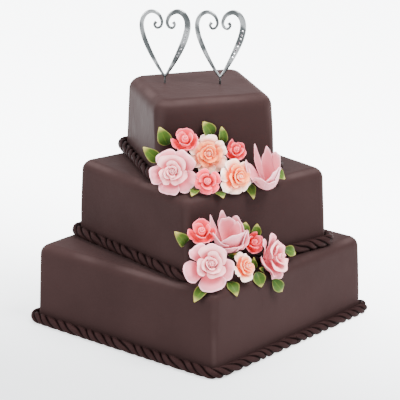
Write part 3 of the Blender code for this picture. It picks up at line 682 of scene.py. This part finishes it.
def sugar_rose(name, tier, spec, finish, seed):
    """A bloom of separate thin petals in whorls round a rolled bud, all in one mesh."""
    form, colour, place, size, depth, right, up = spec
    node = name.removeprefix("sugar_")
    rng = np.random.default_rng(seed)
    sideways, upward, forward = facing_frame(tier, right, up)
    back = before_wall(tier, place) - forward * depth / 2
    lean = LEANS.get(node, (0.0, 0.0))
    parts = []
    for run, turn, half, reach, rise, pointed, curl in PETALS[node]:
        angle, radius, height, thick, paint = petal(
            run, turn, half, reach, rise, pointed, curl, RUFFLES[colour], RIM_WITHIN[colour],
            rng.uniform(0, 2 * np.pi),
        )
        flat = np.stack([radius * np.cos(angle), radius * np.sin(angle)], -1)
        flat = flat + np.array(lean) * min(1.0, 2 * INSIDE[run]) * np.clip(height, 0, 1)[..., None]
        grid = back + size * flat[..., :1] * sideways + size * flat[..., 1:] * upward
        grid = grid + depth * height[..., None] * forward
        points, faces = thin_solid(grid, thick / 2 * (size / 30.0) ** 0.5)
        upper = np.concatenate([paint.reshape(-1, 3), np.zeros((paint.size // 3, 1))], 1)
        under = upper.copy()
        under[:, 3] = 1.0
        parts.append((points, faces, np.concatenate([under, upper])))
    reach, top = HEART_OF_BLOOM[form]
    flat, faces, paint = rolled_bud(reach, top)
    flat[:, :2] += np.array(lean) * np.clip(flat[:, 2:], 0, 1)
    points = back + size * flat[:, :1] * sideways + size * flat[:, 1:2] * upward
    points = points + depth * flat[:, 2:] * forward
    parts.append((points, faces, np.concatenate([paint, np.zeros((len(paint), 1))], 1)))
    points, faces, paint = joined(parts)
    return piece(name, points, faces, finish, node, paint, smooth_angle=50.0)


# Leaves

def sugar_leaf(name, tier, spec, finish):
    """A pointed oval from foot to tip: folded up at the edges, waved, curled at the tip and veined."""
    foot, tip, face, width = spec
    start, end = before_wall(tier, foot), before_wall(tier, tip)
    length = np.linalg.norm(end - start)
    along = (end - start) / length
    normal = wall_direction(tier, face)
    normal = normal - along * (normal @ along)
    normal /= np.linalg.norm(normal)
    across = np.cross(along, normal)
    run = np.linspace(0.004, 0.996, LEAF_ROWS)[:, None]
    side = np.linspace(1, -1, LEAF_COLUMNS)[None, :]
    half = width / 2 * np.sin(np.pi * run**LEAF_BROADEST) ** LEAF_FULL
    bow = LEAF_BOW * length * np.sin(np.pi * run)
    wave = LEAF_WAVE * np.sin(3 * np.pi * run) * side
    curl = LEAF_CURL * length * run**2 * side**2
    rib = -RIB_DEPTH * np.exp(-((side / RIB_BREADTH) ** 2)) * (1 - run)
    slanting = np.cos(2 * np.pi * (LEAF_VEINS * run - VEIN_SLANT * np.abs(side)))
    veins = VEIN_HEIGHT * slanting * (1 - side**2)
    rise = bow + LEAF_FOLD * half * side**2 + wave * half / (width / 2) - curl + rib + veins
    grid = start + (run * length)[..., None] * along + (side * half)[..., None] * across
    grid = grid + rise[..., None] * normal
    thick = LEAF_THIN + (1 - LEAF_THIN) * (1 - np.maximum(np.abs(side), run * 0.9) ** 3)
    points, faces = thin_solid(grid, LEAF_THICK / 2 * thick)
    edge = np.abs(side) + 0 * run
    vein = np.exp(-((side / RIB_PAINT_BREADTH) ** 2)) * RIB_PAINT + VEIN_PAINT * (0.5 + 0.5 * slanting)
    paint = np.stack([edge, run + 0 * side, vein + 0 * run], -1).reshape(-1, 3)
    paint = np.concatenate([paint, paint])
    return piece(name, points, faces, finish, name.removeprefix("sugar_"), paint)


# Hearts

def smooth_course(points, count):
    """That many points evenly along a Catmull-Rom curve through the given ones."""
    known = np.asarray(points, float)
    padded = np.vstack([2 * known[0] - known[1], known, 2 * known[-1] - known[-2]])
    run = np.linspace(0, 1, 12, endpoint=False)[:, None]
    pieces = []
    for i in range(len(known) - 1):
        a, b, c, d = padded[i : i + 4]
        slope, bend, twist = c - a, 2 * a - 5 * b + 4 * c - d, 3 * b - a - 3 * c + d
        pieces.append(b + 0.5 * (slope * run + bend * run**2 + twist * run**3))
    fine = np.vstack([*pieces, known[-1:]])
    reach = np.concatenate([[0], np.cumsum(np.linalg.norm(np.diff(fine, axis=0), axis=1))])
    even = np.linspace(0, reach[-1], count)
    return np.stack([np.interp(even, reach, fine[:, k]) for k in range(fine.shape[1])], 1)


def closed_tubes(stacks):
    """Points and faces of stacks of rings, each closed at both ends by a point in the middle."""
    points, faces, count = [], [], 0
    for rings in stacks:
        points.append(np.vstack([*rings, rings[0].mean(axis=0), rings[-1].mean(axis=0)]))
        faces.append(capped_quads(len(rings), len(rings[0])) + count)
        count += len(points[-1])
    return np.vstack(points), np.vstack(faces)


def silver_heart(side, silver, gem):
    """A rounded bar carried along the pen stroke, its pin, and cut stones along its broad side.

    The bar swells along each half and has a bulb at its curled start. Its section is a circle whose cosine
    and sine are raised to a power.
    """
    along, out = HEARTS[side]
    place = onto_tier("top", [[out, along, TIERS["top"]["height"]]])[0]

    def standing(flat, forward):
        """Points of the heart's plane, with their distance in front of it, stood up over the pin."""
        upright = np.column_stack([flat[:, 0], -forward + 0 * flat[:, 0], flat[:, 1]])
        return turned(upright, HEART_TURN) + place + [0, 0, HEART_RISE]

    right = smooth_course([*HALF_HEART, (0.0, 0.0)], HEART_STATIONS)
    line = np.vstack([(right * [-1, 1])[:-1], [[0.0, right[-1][1]]], right[-2::-1]])
    run = np.linspace(0, 1, HEART_STATIONS)
    breadths = {}
    for lobe, broad in PEN_BROAD.items():
        swell = (broad - PEN_FINE) * np.sin(np.pi * run**PEN_LOW) ** PEN_SWELL
        breadths[lobe] = PEN_FINE + swell + PEN_BULB * np.exp(-((run / BULB_LENGTH) ** 2))
    breadth = np.concatenate([breadths["left"], breadths["right"][-2::-1]])
    heading = np.gradient(line, axis=0)
    heading /= np.linalg.norm(heading, axis=1)[:, None]
    inward = np.stack([-heading[:, 1], heading[:, 0]], 1)
    theta = 2 * np.pi * np.arange(BAR_SIDES) / BAR_SIDES
    share_across = np.sign(np.cos(theta)) * np.abs(np.cos(theta)) ** BAR_POWER / 2
    share_forward = np.sign(np.sin(theta)) * np.abs(np.sin(theta)) ** BAR_POWER * HEART_THICK / 2
    columns = [
        standing(line + inward * (share * breadth)[:, None], forward)
        for share, forward in zip(share_across, share_forward)
    ]
    bar = list(np.stack(columns, axis=1))
    circle = PIN_RADIUS * np.stack([np.cos(theta), np.sin(theta)], 1)
    pin = [
        np.column_stack([circle, np.full(BAR_SIDES, z)]) + place
        for z in (-PIN_SINK, HEART_RISE + PEN_FINE / 2)
    ]
    points, faces = closed_tubes([bar, pin])
    piece(f"{side}_silver_heart", points, faces, silver, f"{side}_heart")

    facets = 2 * np.pi * np.arange(GEM_SIDES) / GEM_SIDES
    rim = np.stack([np.cos(facets), np.sin(facets)], 1)
    stones = []
    broad_line = smooth_course([*HALF_HEART, (0.0, 0.0)], 200)
    for share in np.linspace(*GEM_SPAN, GEMS):
        seat = broad_line[round(share * (len(broad_line) - 1))]
        stones.append([
            standing(seat + size * GEM_RADIUS * rim, HEART_THICK / 2 + height) for size, height in GEM_LAYERS
        ])
    points, faces = closed_tubes(stones)
    piece(f"{side}_heart_stones", points, faces, gem, f"{side}_heart", smooth_angle=5.0)


# Finishes, with linear colours

WARM_GLOSS = (1.0, 0.74, 0.72, 1.0)
WARM_SHEEN = (1.0, 0.7, 0.68, 1.0)
FONDANT = ((0.02, 0.0109, 0.0105), (0.024, 0.0132, 0.0127))
# Painted highlight: lighter fondant along the edges and corners
HIGHLIGHT_FONDANT = (0.046, 0.03, 0.029)
# Painted shade: the same fondant darker on the rope, and near black in its grooves
SHADED_ROLLED_FONDANT = ((0.0135, 0.0066, 0.0064), (0.018, 0.009, 0.0087))
GROOVE_SHADE = (0.002, 0.001, 0.001)
# Painted reflection: the darkest and lightest of the silver, as if it mirrored a room
REFLECTED_SILVER = ((0.075, 0.082, 0.082), (0.3, 0.31, 0.31))
# Painted reflections and glints: dark and bright stones
STONES = ((0.03, 0.015, 0.02), (0.6, 0.6, 0.62))
FLOOR = ((0.46, 0.47, 0.48), (0.49, 0.5, 0.51))
GREEN = dict(foot=(0.012, 0.034, 0.004), body=(0.04, 0.08, 0.008), vein=(0.085, 0.135, 0.014),
             edge=(0.22, 0.21, 0.05), tip=(0.36, 0.31, 0.07))
# The deep colour is the dusting's, and is also painted shade between the petals
SHADES = {
    "blush": dict(outer=(0.69, 0.245, 0.285), inner=(0.91, 0.46, 0.46), deep_and_shaded=(0.64, 0.115, 0.15),
                  rim=(0.84, 0.49, 0.54), under=(0.76, 0.35, 0.39)),
    "coral": dict(outer=(0.86, 0.068, 0.108), inner=(0.93, 0.18, 0.22), deep_and_shaded=(0.7, 0.036, 0.056),
                  rim=(0.95, 0.26, 0.31), under=(0.88, 0.34, 0.39)),
    "peach": dict(outer=(0.98, 0.64, 0.5), inner=(0.98, 0.29, 0.105), deep_and_shaded=(0.92, 0.15, 0.032),
                  rim=(0.98, 0.84, 0.77), under=(0.94, 0.64, 0.5)),
}


def new_finish(name, roughness, **sockets):
    """A Principled material with values set on its own sockets."""
    made = bpy.data.materials.new(name)
    made.use_nodes = True
    shader = made.node_tree.nodes["Principled BSDF"]
    shader.inputs["Roughness"].default_value = roughness
    for socket, value in sockets.items():
        shader.inputs[socket.replace("_", " ")].default_value = value
    return made, made.node_tree, shader


def add_node(tree, kind, **settings):
    """A shader node with its own settings."""
    node = tree.nodes.new(kind)
    for name, value in settings.items():
        setattr(node, name, value)
    return node


def noise(tree, scale, detail=3.0, roughness=0.5):
    """A noise texture on Object coordinates; scale is features a metre."""
    coordinates = add_node(tree, "ShaderNodeTexCoord")
    made = add_node(tree, "ShaderNodeTexNoise")
    made.inputs["Scale"].default_value = scale
    made.inputs["Detail"].default_value = detail
    made.inputs["Roughness"].default_value = roughness
    tree.links.new(coordinates.outputs["Object"], made.inputs["Vector"])
    return made.outputs["Fac"]


def ranged(tree, value, low, high, to_low, to_high):
    """A value's range low to high mapped smoothly to another."""
    made = add_node(tree, "ShaderNodeMapRange", interpolation_type="SMOOTHSTEP")
    for socket, number in (("From Min", low), ("From Max", high), ("To Min", to_low), ("To Max", to_high)):
        made.inputs[socket].default_value = number
    tree.links.new(value, made.inputs["Value"])
    return made.outputs["Result"]


def mixed(tree, factor, first, second, blend="MIX"):
    """A colour mix; each side is a colour or a socket."""
    made = add_node(tree, "ShaderNodeMix", data_type="RGBA", blend_type=blend)
    if isinstance(factor, float):
        made.inputs["Factor"].default_value = factor
    else:
        tree.links.new(factor, made.inputs["Factor"])
    for socket, side in (("A", first), ("B", second)):
        target = next(entry for entry in made.inputs if entry.name == socket and entry.type == "RGBA")
        if isinstance(side, tuple):
            target.default_value = (*side, 1.0)
        else:
            tree.links.new(side, target)
    return next(entry for entry in made.outputs if entry.type == "RGBA")


def bumped(tree, shader, height, strength, distance):
    """Fine relief on a shader's normal, with its height in metres."""
    made = add_node(tree, "ShaderNodeBump")
    made.inputs["Strength"].default_value = strength
    made.inputs["Distance"].default_value = distance
    tree.links.new(height, made.inputs["Height"])
    tree.links.new(made.outputs["Normal"], shader.inputs["Normal"])


def paint_channels(tree):
    """The four numbers that a piece carries at each point."""
    source = add_node(tree, "ShaderNodeAttribute", attribute_name="paint")
    split = add_node(tree, "ShaderNodeSeparateColor")
    tree.links.new(source.outputs["Color"], split.inputs["Color"])
    return split.outputs["Red"], split.outputs["Green"], split.outputs["Blue"], source.outputs["Alpha"]


def fondant_finish():
    """Chocolate fondant: faint mottling, a painted highlight along edges and corners, a satin surface with
    duller smears, and a fine skin.
    """
    made, tree, shader = new_finish("chocolate_fondant", 0.45, Specular_IOR_Level=0.007,
                                     Specular_Tint=WARM_GLOSS, Sheen_Weight=0.045, Sheen_Roughness=0.4,
                                     Sheen_Tint=WARM_SHEEN)
    mottle = ranged(tree, noise(tree, 9.0, 4.0), 0.3, 0.7, 0.0, 1.0)
    colour = mixed(tree, mottle, *FONDANT)
    edge_highlight, _, _, _ = paint_channels(tree)
    # Painted highlight, broken into patches, where the paint marks the edges and corners
    patches = ranged(tree, noise(tree, 16.0, 2.0), 0.36, 0.64, 0.15, 1.0)
    patchy_highlight = mixed(tree, patches, colour, HIGHLIGHT_FONDANT)
    colour = mixed(tree, ranged(tree, edge_highlight, 0.1, 1.0, 0.0, 0.62), colour, patchy_highlight)
    tree.links.new(colour, shader.inputs["Base Color"])
    tree.links.new(ranged(tree, noise(tree, 14.0, 3.0), 0.3, 0.7, 0.4, 0.52), shader.inputs["Roughness"])
    bumped(tree, shader, noise(tree, 45.0, 5.0, 0.6), 0.25, 0.002)
    return made


def rope_finish():
    """The same fondant rolled into strands, painted darker all over and darkest in the grooves as painted
    shade.
    """
    made, tree, shader = new_finish("rolled_fondant", 0.5, Specular_IOR_Level=0.012,
                                     Specular_Tint=WARM_GLOSS)
    deep_and_shaded, _, _, _ = paint_channels(tree)
    mottle = ranged(tree, noise(tree, 60.0, 4.0), 0.3, 0.7, 0.0, 1.0)
    # Painted shade: a darker copy of the fondant, darkest in the grooves
    colour = mixed(tree, mottle, *SHADED_ROLLED_FONDANT)
    colour = mixed(tree, ranged(tree, deep_and_shaded, 0.05, 0.27, 0.0, 0.9), colour, GROOVE_SHADE)
    tree.links.new(colour, shader.inputs["Base Color"])
    bumped(tree, shader, noise(tree, 220.0, 5.0, 0.6), 0.25, 0.0015)
    return made


def petal_finish(colour):
    """Sugar paste dusted with colour, deepest between the petals where painted shade darkens it too; pale
    along each rim and underneath.
    """
    shades = SHADES[colour]
    made, tree, shader = new_finish(f"{colour}_sugar_paste", 0.55, Subsurface_Weight=0.12,
                                    Subsurface_Scale=0.003, Specular_IOR_Level=0.05)
    shader.inputs["Subsurface Radius"].default_value = (1.0, 0.5, 0.4)
    rim, deep_and_shaded, inside, under = paint_channels(tree)
    body = mixed(tree, inside, shades["outer"], shades["inner"])
    # Deep colour between the petals: partly dusting and partly painted shade
    body = mixed(tree, ranged(tree, deep_and_shaded, 0.08, 0.6, 0.0, 1.0), body, shades["deep_and_shaded"])
    body = mixed(tree, ranged(tree, under, 0.3, 0.7, 0.0, 0.75), body, shades["under"])
    body = mixed(tree, ranged(tree, rim, 0.1, 1.0, 0.0, 0.8), body, shades["rim"])
    brushed = ranged(tree, noise(tree, 34.0, 1.0), 0.48, 0.72, 0.0, 0.3)
    body = mixed(tree, brushed, body, shades["deep_and_shaded"])
    dusting = ranged(tree, noise(tree, 160.0, 3.0), 0.35, 0.75, 0.0, 0.1)
    tree.links.new(mixed(tree, dusting, body, shades["deep_and_shaded"]), shader.inputs["Base Color"])
    bumped(tree, shader, noise(tree, 500.0, 4.0, 0.6), 0.12, 0.0008)
    return made


def leaf_finish():
    """Green sugar paste with lighter veins, deeper green at the foot and yellow-tan edges and tip."""
    made, tree, shader = new_finish("green_sugar_paste", 0.5, Specular_IOR_Level=0.12, Subsurface_Weight=0.08,
                                    Subsurface_Scale=0.002)
    edge, along, vein, _ = paint_channels(tree)
    green = mixed(tree, ranged(tree, along, 0.0, 0.8, 0.0, 1.0), GREEN["foot"], GREEN["body"])
    green = mixed(tree, ranged(tree, vein, 0.1, 0.8, 0.0, 0.35), green, GREEN["vein"])
    edged = mixed(tree, ranged(tree, edge, 0.78, 1.0, 0.0, 0.6), green, GREEN["edge"])
    tipped = mixed(tree, ranged(tree, along, 0.72, 1.0, 0.0, 0.9), edged, GREEN["tip"])
    tree.links.new(tipped, shader.inputs["Base Color"])
    bumped(tree, shader, noise(tree, 400.0, 4.0, 0.6), 0.15, 0.0008)
    return made


def silver_finish():
    """Silver with slow dark and light reaches painted in as reflections of a room, and finer changes of
    gloss.
    """
    made, tree, shader = new_finish("brushed_silver", 0.28, Metallic=1.0)
    streaks = ranged(tree, noise(tree, 500.0, 2.0), 0.3, 0.7, 0.22, 0.36)
    tree.links.new(streaks, shader.inputs["Roughness"])
    # Painted reflection: slow dark and light reaches in the silver's colour
    painted_reflection = ranged(tree, noise(tree, 55.0, 1.0), 0.4, 0.62, 0.0, 1.0)
    tree.links.new(mixed(tree, painted_reflection, *REFLECTED_SILVER), shader.inputs["Base Color"])
    return made


def stone_finish():
    """Small mirrors, some painted dark and some painted bright as reflections and glints."""
    made, tree, shader = new_finish("cut_stone", 0.06, Metallic=0.9)
    # Painted glints: dark and bright patches in the stones' colour
    painted_glint = ranged(tree, noise(tree, 700.0), 0.42, 0.58, 0.0, 1.0)
    tree.links.new(mixed(tree, painted_glint, *STONES), shader.inputs["Base Color"])
    return made


# Setting

def pale_floor():
    """A wide plain floor that glows like a lit sweep, less towards the camera and to its left: painted light
    with painted shade.
    """
    corners = [(x * FLOOR_REACH, y * FLOOR_REACH, 0) for x, y in ((-1, -1), (1, -1), (1, 1), (-1, 1))]
    mesh = bpy.data.meshes.new("studio_floor")
    mesh.from_pydata(corners, [], [(0, 1, 2, 3)])
    made, tree, shader = new_finish("studio_floor", 0.7)
    tree.links.new(mixed(tree, noise(tree, 1.5), *FLOOR), shader.inputs["Base Color"])
    # Painted light: the floor glows, and fades as painted shade towards the camera and the left
    shader.inputs["Emission Color"].default_value = (0.97, 0.99, 1.0, 1.0)
    right, _, back = viewing_frame()
    coordinates = add_node(tree, "ShaderNodeTexCoord")
    nearer = add_node(tree, "ShaderNodeVectorMath", operation="DOT_PRODUCT")
    tree.links.new(coordinates.outputs["Object"], nearer.inputs[0])
    nearer.inputs[1].default_value = Vector((back.x, back.y, 0)).normalized() - FLOOR_GLOW_SLANT * right
    glow = ranged(tree, nearer.outputs["Value"], *FLOOR_GLOW_RUN, *FLOOR_GLOW)
    tree.links.new(glow, shader.inputs["Emission Strength"])
    mesh.materials.append(made)
    floor = bpy.data.objects.new("studio_floor", mesh)
    bpy.context.scene.collection.objects.link(floor)


def soft_light(name, place, aim, size, power):
    """A square area light at the place, facing the aim."""
    lamp = bpy.data.lights.new(name, "AREA")
    lamp.shape = "SQUARE"
    lamp.size = size
    lamp.energy = power
    made = bpy.data.objects.new(name, lamp)
    facing = (Vector(aim) - Vector(place)).to_track_quat("-Z", "Y")
    made.matrix_world = Matrix.Translation(place) @ facing.to_matrix().to_4x4()
    bpy.context.scene.collection.objects.link(made)


def viewing_frame():
    """Right, up and back directions of the camera."""
    bearing, lift = math.radians(VIEW_BEARING), math.radians(VIEW_LIFT)
    back = Vector((math.sin(bearing) * math.cos(lift), -math.cos(bearing) * math.cos(lift), math.sin(lift)))
    right = Vector((math.cos(bearing), math.sin(bearing), 0))
    return right, back.cross(right), back


def studio():
    """The camera, a pale even sky and the lights."""
    right, up, back = viewing_frame()
    aim = Vector((0, 0, VIEW_AIM))
    lens = bpy.data.cameras.new("camera")
    lens.sensor_width = 36
    lens.lens = VIEW_LENS
    lens.shift_y = VIEW_SHIFT
    lens.clip_end = 50
    camera = bpy.data.objects.new("camera", lens)
    camera.matrix_world = Matrix((right, up, back)).transposed().to_4x4()
    camera.matrix_world.translation = aim + back * VIEW_DISTANCE
    bpy.context.scene.collection.objects.link(camera)
    bpy.context.scene.camera = camera
    world = bpy.data.worlds.new("studio")
    world.use_nodes = True
    sky = world.node_tree.nodes["Background"]
    sky.inputs["Color"].default_value = SKY
    sky.inputs["Strength"].default_value = SKY_STRENGTH
    bpy.context.scene.world = world
    for name, (sideways, nearer, above, size, power) in LIGHTS.items():
        place = aim + right * sideways + back * nearer + Vector((0, 0, above))
        soft_light(name, place, aim, size, power)


def main():
    """The cake's pieces, tier by tier, then flowers, leaves and hearts, and the setting."""
    fondant = fondant_finish()
    rope = rope_finish()
    for seed, tier in enumerate(TIERS, 1):
        icing_tier(tier, seed, fondant)
        icing_rope(tier, rope)
    petals = {colour: petal_finish(colour) for colour in SHADES}
    for tier, blooms in ROSES.items():
        for number, spec in enumerate(blooms, 1):
            seed = 100 * list(TIERS).index(tier) + number
            sugar_rose(f"sugar_{tier}_rose_{number}", tier, spec, petals[spec[1]], seed)
    leaf = leaf_finish()
    for tier, sprays in LEAVES.items():
        for number, spec in enumerate(sprays, 1):
            sugar_leaf(f"sugar_{tier}_leaf_{number}", tier, spec, leaf)
    silver, stone = silver_finish(), stone_finish()
    for side in HEARTS:
        silver_heart(side, silver, stone)
    pale_floor()
    studio()


main()
